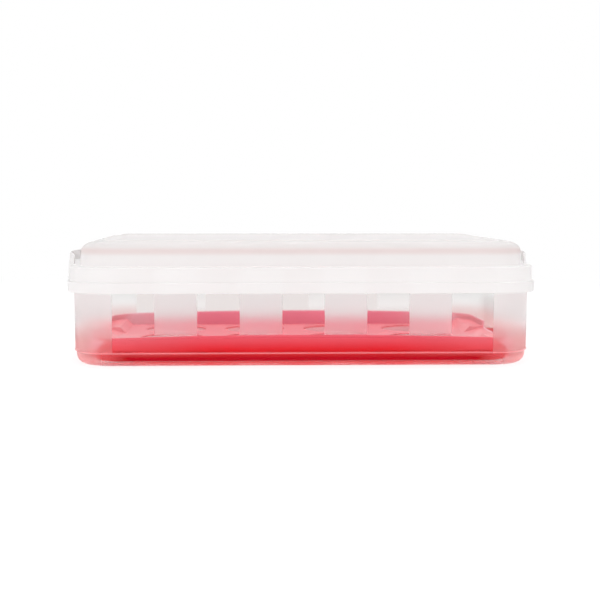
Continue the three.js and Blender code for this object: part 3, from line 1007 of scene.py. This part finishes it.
def lid_shell(box, lid, material):
    """The lid's shell without its grips."""
    at = LidLevels(box, lid)
    small, ledge = lid.edge_round, lid.ledge_round
    skirt_round, crown_round = SKIRT_ROUND * small, CROWN_ROUND * lid.crown_slope
    shoulder_foot = at.crown_top - lid.crown_rise - lid.shoulder_height
    outer_foot = (at.dome + lid.dome_draft, shoulder_foot)
    outer_top = (outer_foot[0] + lid.shoulder_width, at.crown_top - lid.crown_rise)
    inner_foot = (outer_foot[0] + lid.wall, shoulder_foot)
    inner_top = (outer_top[0], outer_top[1] - lid.wall)
    crown_edge = outer_top[0] + lid.crown_inset
    crown_level = crown_edge + lid.crown_slope
    on_crown = crown_edge + CROWN_WIDTH * lid.crown_slope
    inner_band = at.band + lid.wall
    inner_skirt = at.skirt + lid.wall
    inside = [
        (at.dome + lid.wall, at.ledge_top - lid.wall, ledge),
        (inner_band, at.ledge_top - lid.wall, small),
        (inner_band, at.band_foot, small / 2),
        (inner_skirt, at.band_foot - lid.skirt_step, small / 2),
        (inner_skirt, at.skirt_foot, small),
        (at.skirt, at.skirt_foot, skirt_round),
        (at.skirt, at.band_foot, skirt_round),
        (at.band, at.band_foot + lid.skirt_step / 2, small),
        (at.band, at.ledge_top, ledge),
        (at.dome, at.ledge_top, ledge),
    ]
    ceiling = [
        (on_crown, at.crown_top - lid.wall),
        (crown_level, at.crown_top - lid.wall, crown_round),
        (crown_edge, inner_top[1], crown_round),
        inner_top,
    ]
    crown = [
        outer_top,
        (crown_edge, outer_top[1], crown_round),
        (crown_level, at.crown_top, crown_round),
        (on_crown, at.crown_top),
    ]
    line = [
        *rounded_line(ceiling),
        *quarter_ellipse(inner_top, inner_foot, False)[:-1],
        *rounded_line([inner_foot, *inside, outer_foot]),
        *quarter_ellipse(outer_foot, outer_top, True),
        *rounded_line(crown)[1:],
    ]
    return sweep("lid_shell", line, box_outline(box), material)


def lid_grip(box, lid):
    """One grip: its bowed wall, from sections along its arc, and the web behind the wall."""
    at = LidLevels(box, lid)
    half = lid.grip_width / 2
    bow = (half**2 + lid.grip_reach**2) / (2 * lid.grip_reach)
    middle = at.half_length + lid.grip_reach - bow
    spread = math.asin(half / bow)
    foot, top = at.ledge_top - lid.grip_drop, at.ledge_top + lid.grip_rise
    soft = GRIP_SOFTNESS * lid.grip_wall / 2
    angles = [spread * (2 * i / BOW_STEPS - 1) for i in range(BOW_STEPS + 1)]

    def on_arc(angle, radius, height):
        return middle + radius * math.cos(angle), radius * math.sin(angle), height

    rings = []
    for angle in angles:
        from_end = half - abs(bow * math.sin(angle))
        rounding = 1 - min(from_end / lid.grip_end_length, 1)
        here = top - lid.grip_end_height * (1 - math.sqrt(1 - rounding**2))
        section = [
            (0.0, foot, soft / 2),
            (0.0, here, soft),
            (lid.grip_wall, here, soft),
            (lid.grip_wall, foot, soft / 2),
        ]
        rings.append(
            [
                on_arc(angle, bow - inset - lid.grip_lean * (z - foot) / (top - foot), z)
                for inset, z in rounded_line(section, closed=True)
            ]
        )
    radius = bow - lid.grip_lean * lid.grip_drop / (top - foot) - lid.grip_wall / 2
    edge = [on_arc(angle, radius, at.ledge_top - lid.wall) for angle in angles]
    web = prism("grip_web", edge, (0, 0, lid.wall))
    return combine(loft("grip_wall", rings), web, "UNION")


class CANDY_OT_lid(bpy.types.Operator):
    """Build the domed lid with its skirt, ledge and two end grips"""

    bl_idname = "candy.lid"
    bl_label = "Lid"

    def execute(self, context):
        box, lid = context.scene.candy_container, context.scene.candy_lid
        at = LidLevels(box, lid)
        material = lid_plastic(lid)
        shell = lid_shell(box, lid, material)
        inset = at.band + lid.wall / 2
        low, high = at.skirt_foot - OVERRUN, at.crown_top + OVERRUN
        core = filled_outline("lid_core", box_outline(box), inset, low, high, material)
        grip = combine(lid_grip(box, lid), core, "DIFFERENCE")
        combine(shell, at_both_ends(grip), "UNION")
        finish_piece(shell, "domed_lid", "lid", "lid", material)
        return {"FINISHED"}


class TrayLevels:
    """Heights and places that the tray's parts share."""

    def __init__(self, box, tray):
        self.foot = box.foot_recess + box.floor + SEAT
        self.floor = self.foot + tray.floor_height
        self.top = self.floor + tray.wall_rise
        self.half_length = box.length / 2 - box.wall - tray.end_gap
        self.half_depth = box.depth / 2 - box.wall - tray.side_gap
        self.land = self.half_length - tray.land_length
        self.tab = box.length / 2 - box.wall - tray.tab_gap
        self.outline = (2 * self.half_length, 2 * self.half_depth, tray.corner_radius)


def tray_wall(at, tray, material):
    """The tray's wall: curved in at its foot and arched along its upper edge."""
    small = TRAY_EDGE
    lip_foot = at.top - tray.lip_height
    proud = tray.draft - tray.lip_proud
    foot_top = at.foot + tray.foot_height
    foot_in, foot_out = (tray.foot_inset + tray.wall, at.foot), (tray.foot_inset, at.foot)
    outer = quarter_ellipse(foot_out, (0.0, foot_top), False)
    inner = quarter_ellipse((tray.wall, foot_top), foot_in, True)
    upper = rounded_line(
        [
            (0.0, foot_top),
            (0.0, at.floor, small),
            (tray.draft, lip_foot - tray.lip_proud, small),
            (proud, lip_foot, small / 2),
            (proud, at.top, small),
            (tray.draft + tray.wall, at.top, small),
            (tray.wall, at.floor, small),
            (tray.wall, foot_top),
        ]
    )
    return sweep(
        "tray_wall",
        [foot_out, *outer[:-1], *upper, *inner],
        at.outline,
        material,
        closed=True,
        **{"Arch Drop": tray.arch_drop, "Arch From": at.floor, "Arch To": lip_foot},
    )


def bent_sheet(at, tray, slope, level, end):
    """The X and Z outline of a sheet that lies level, and rises to a level at both ends."""
    bend = tray.bend_round
    half = [(at.land, at.floor, bend), (at.land + slope, level, bend), (end, level)]
    upper = rounded_line([(-x, z, *radius) for x, z, *radius in reversed(half)] + half)
    return [*upper, *[Vector((x, z - tray.floor)) for x, z in reversed(upper)]]


def tray_floor(at, tray, material):
    """The tray's floor with its raised lands, ramps and finger tabs."""
    land_top, tab_top = at.floor + tray.land_rise, at.floor + tray.ramp_rise
    cheek = tray.notch_width / 2
    half_tab = cheek + tray.floor / 2
    in_wall = at.half_length - WALL_LEFT * tray.wall
    side = bent_sheet(at, tray, tray.land_slope, land_top, in_wall)
    floor = at_both_ends(across_y("tray_floor", side, cheek, at.half_depth))
    ramp = bent_sheet(at, tray, tray.ramp_length, tab_top, at.tab)
    combine(floor, across_y("tray_ramp", ramp, -half_tab, half_tab), "UNION")
    cheek_line = [
        (at.land - tray.floor, at.floor - tray.floor),
        (at.land, at.floor - tray.floor),
        (at.land + tray.ramp_length, tab_top - tray.floor),
        (in_wall, tab_top - tray.floor),
        (in_wall, land_top),
        (at.land + tray.land_slope, land_top),
        (at.land, at.floor),
        (at.land - tray.floor, at.floor),
    ]
    for start in (cheek, -cheek - tray.floor):
        piece = across_y("tray_cheek", cheek_line, start, start + tray.floor)
        combine(floor, at_both_ends(piece), "UNION")
    reach = filled_outline("tray_reach", at.outline, tray.wall / 2, at.foot, at.top, material)
    corners = [(x, y, tray.tab_round) for x, y in rectangle(at.tab, half_tab)]
    base, ceiling = at.foot - OVERRUN, at.top + OVERRUN
    outline = [(x, y, base) for x, y in rounded_line(corners, closed=True)]
    tabs = prism("tray_tabs", outline, (0, 0, ceiling - base))
    combine(reach, tabs, "UNION")
    return combine(floor, reach, "INTERSECT")


def notch_cutter(at, tray):
    """The finger notch through the end wall above the tab, at the +X end."""
    half = tray.notch_width / 2
    low, high = at.floor + tray.ramp_rise, at.top + tray.notch_round + OVERRUN
    line = rounded_line(
        [
            (-half, low, tray.notch_round),
            (half, low, tray.notch_round),
            (half, high),
            (-half, high),
        ],
        closed=True,
    )
    start = at.land + tray.ramp_length
    reach = at.tab + OVERRUN - start
    return prism("notch_cutter", [(start, y, z) for y, z in line], (reach, 0, 0))


def well_cutter(at, tray):
    """A round cutter that leaves a softly rounded rim above and below the floor."""
    radius, low = tray.well_diameter / 2, at.floor - tray.floor
    rim = [(radius, 0.0)]
    rim += quarter_ellipse(rim[0], (radius - WELL_EDGE, WELL_EDGE), False, FILLET_STEPS)
    line = [
        (radius, low - OVERRUN),
        *[(r, low + z) for r, z in rim],
        *[(r, at.floor - z) for r, z in reversed(rim)],
        (radius, at.floor + OVERRUN),
    ]
    turns = [2 * math.pi * i / WELL_STEPS for i in range(WELL_STEPS)]
    rings = [[(r * math.cos(turn), r * math.sin(turn), z) for turn in turns] for r, z in line]
    return loft("well_cutter", rings)


class CANDY_OT_tray(bpy.types.Operator):
    """Build the red tray with its round wells, lands and finger tabs"""

    bl_idname = "candy.tray"
    bl_label = "Tray"

    def execute(self, context):
        box, tray = context.scene.candy_container, context.scene.candy_tray
        at = TrayLevels(box, tray)
        material = red_plastic(tray)
        piece = tray_wall(at, tray, material)
        combine(piece, at_both_ends(notch_cutter(at, tray)), "DIFFERENCE")
        combine(piece, tray_floor(at, tray, material), "UNION")
        outward(piece)
        cutter = well_cutter(at, tray)
        run_tree(
            piece,
            round_wells_tree(),
            {
                "Cutter": cutter,
                "Along": tray.wells_along,
                "Across": tray.wells_across,
                "Pitch Along": tray.well_pitch_x,
                "Pitch Across": tray.well_pitch_y,
                "Material": material,
            },
        )
        discard(cutter)
        finish_piece(piece, "cake_tray", "tray", "tray", material)
        return {"FINISHED"}


# Light goes in and out of many thin walls before it leaves the box
LIGHT_BOUNCES = 32
DIFFUSE_BOUNCES = 12

# Place in millimetres, and turns in degrees: down, and towards +X
CAMERA_PLACE = (-53.6, -1129.1, 145.4)
CAMERA_PITCH = 4.94
CAMERA_YAW = 1.66
CAMERA_LENS = 70.62
CAMERA_SHIFT = 0.041
CAMERA_CLIP = (0.05, 20.0)

# Side and places of the lamps, and the point that they look at
LAMP_SIDE = 1.4
LAMP_TARGET = Vector((0.0, 0.0, 0.05))
LAMP_PLACES = {"key": (-1.2, -1.8, 0.9), "fill": (1.5, -1.6, 0.7), "top": (0.1, 0.5, 1.7)}

# How far the floor lies below the foot ring, and where it turns plain white round the box
TABLE_GAP = 0.1 * MM
FLOOR_FADE = (0.5, 1.1)
SPECK_SCALE, SPECK_SHADE = 3.0, 0.995
FLOOR_ROUGHNESS = 0.9
WHITE = (1.0, 1.0, 1.0, 1.0)


def area_lamp(name, place, power):
    """A square soft lamp that looks at the box."""
    data = bpy.data.lights.new(name, "AREA")
    data.shape = "SQUARE"
    data.size = LAMP_SIDE
    data.energy = power
    lamp = bpy.data.objects.new(name, data)
    lamp.location = place
    lamp.rotation_euler = (LAMP_TARGET - lamp.location).to_track_quat("-Z", "Y").to_euler()
    bpy.context.scene.collection.objects.link(lamp)


def seen_directly(plan):
    """1 where the camera sees, also in gloss and through plastic."""
    seen = plan.ray("Camera") + plan.ray("Glossy") + plan.ray("Transmission")
    return plan.maths("MINIMUM", seen, 1.0)


def pale_world(strength):
    """White as seen by the camera, in gloss and through plastic, and plain light elsewhere."""
    world = bpy.data.worlds.new("pale_studio")
    world.use_nodes = True
    world.node_tree.nodes.clear()
    plan = Plan(world.node_tree)
    shine = {"Color": WHITE, "Strength": between(seen_directly(plan), strength, 1)}
    light = plan.node("ShaderNodeBackground", None, shine)
    plan.node("ShaderNodeOutputWorld", None, {"Surface": light})
    bpy.context.scene.world = world


def pale_floor(stage):
    """A pale floor that takes shadows near the box and is plain white far from it."""
    half = stage.floor_size / 2
    corners = [(x, y, -TABLE_GAP) for x, y in rectangle(half, half)]
    floor = mesh_object("floor", corners, faces=[(0, 1, 2, 3)])
    material, plan, where = new_material("pale_floor")
    tint = Vector(stage.floor_tint)
    speck = plan.noise(where, SPECK_SCALE)
    lit = plan.node(
        "ShaderNodeBsdfPrincipled",
        None,
        {
            "Base Color": plan.blend(speck, tint * SPECK_SHADE, tint),
            "Roughness": FLOOR_ROUGHNESS,
            "Specular IOR Level": 0.0,
        },
    )
    away = plan.node("ShaderNodeVectorMath", {"operation": "LENGTH"}, {0: where}, "Value")
    shine = plan.node("ShaderNodeEmission", None, {"Strength": 1.0})
    seen = seen_directly(plan) * stage.floor_shine
    white = plan.maths("MAXIMUM", plan.rise(away, FLOOR_FADE), seen)
    close_material(plan, plan.node("ShaderNodeMixShader", None, {0: white, 1: lit, 2: shine}))
    floor.data.materials.append(material)


def front_camera():
    """The camera in front of the box, a little above it and left of its middle."""
    data = bpy.data.cameras.new("camera")
    data.lens = CAMERA_LENS
    data.shift_x = CAMERA_SHIFT
    data.clip_start, data.clip_end = CAMERA_CLIP
    camera = bpy.data.objects.new("camera", data)
    camera.location = Vector(CAMERA_PLACE) * MM
    camera.rotation_euler = (math.radians(90 - CAMERA_PITCH), 0.0, math.radians(-CAMERA_YAW))
    bpy.context.scene.collection.objects.link(camera)
    bpy.context.scene.camera = camera


class CANDY_OT_stage(bpy.types.Operator):
    """Set the pale floor, the soft studio light and the camera"""

    bl_idname = "candy.stage"
    bl_label = "Stage"

    def execute(self, context):
        stage = context.scene.candy_stage
        pale_floor(stage)
        pale_world(stage.sky)
        for lamp, place in LAMP_PLACES.items():
            area_lamp(lamp + "_lamp", place, getattr(stage, lamp + "_power"))
        front_camera()
        context.scene.view_settings.view_transform = "Standard"
        cycles = context.scene.cycles
        cycles.max_bounces = LIGHT_BOUNCES
        cycles.transmission_bounces = LIGHT_BOUNCES
        cycles.glossy_bounces = LIGHT_BOUNCES
        cycles.diffuse_bounces = DIFFUSE_BOUNCES
        return {"FINISHED"}


class CANDY_PT_panel(bpy.types.Panel):
    """Buttons that build the box"""

    bl_idname = "CANDY_PT_panel"
    bl_label = "Candy Storage Box"
    bl_space_type = "VIEW_3D"
    bl_region_type = "UI"
    bl_category = "Candy Box"

    def draw(self, context):
        for operator in OPERATORS:
            self.layout.operator(operator.bl_idname)


SETTINGS = {
    "candy_container": ContainerSettings,
    "candy_lid": LidSettings,
    "candy_tray": TraySettings,
    "candy_stage": StageSettings,
}
OPERATORS = (CANDY_OT_container, CANDY_OT_tray, CANDY_OT_lid, CANDY_OT_stage)


def register():
    for name, group in SETTINGS.items():
        bpy.utils.register_class(group)
        setattr(bpy.types.Scene, name, bpy.props.PointerProperty(type=group))
    for cls in (*OPERATORS, CANDY_PT_panel):
        bpy.utils.register_class(cls)


def unregister():
    for cls in reversed((*OPERATORS, CANDY_PT_panel)):
        bpy.utils.unregister_class(cls)
    for name, group in reversed(SETTINGS.items()):
        delattr(bpy.types.Scene, name)
        bpy.utils.unregister_class(group)


def main():
    register()
    bpy.ops.candy.container()
    bpy.ops.candy.tray()
    bpy.ops.candy.lid()
    bpy.ops.candy.stage()


if __name__ == "__main__":
    main()
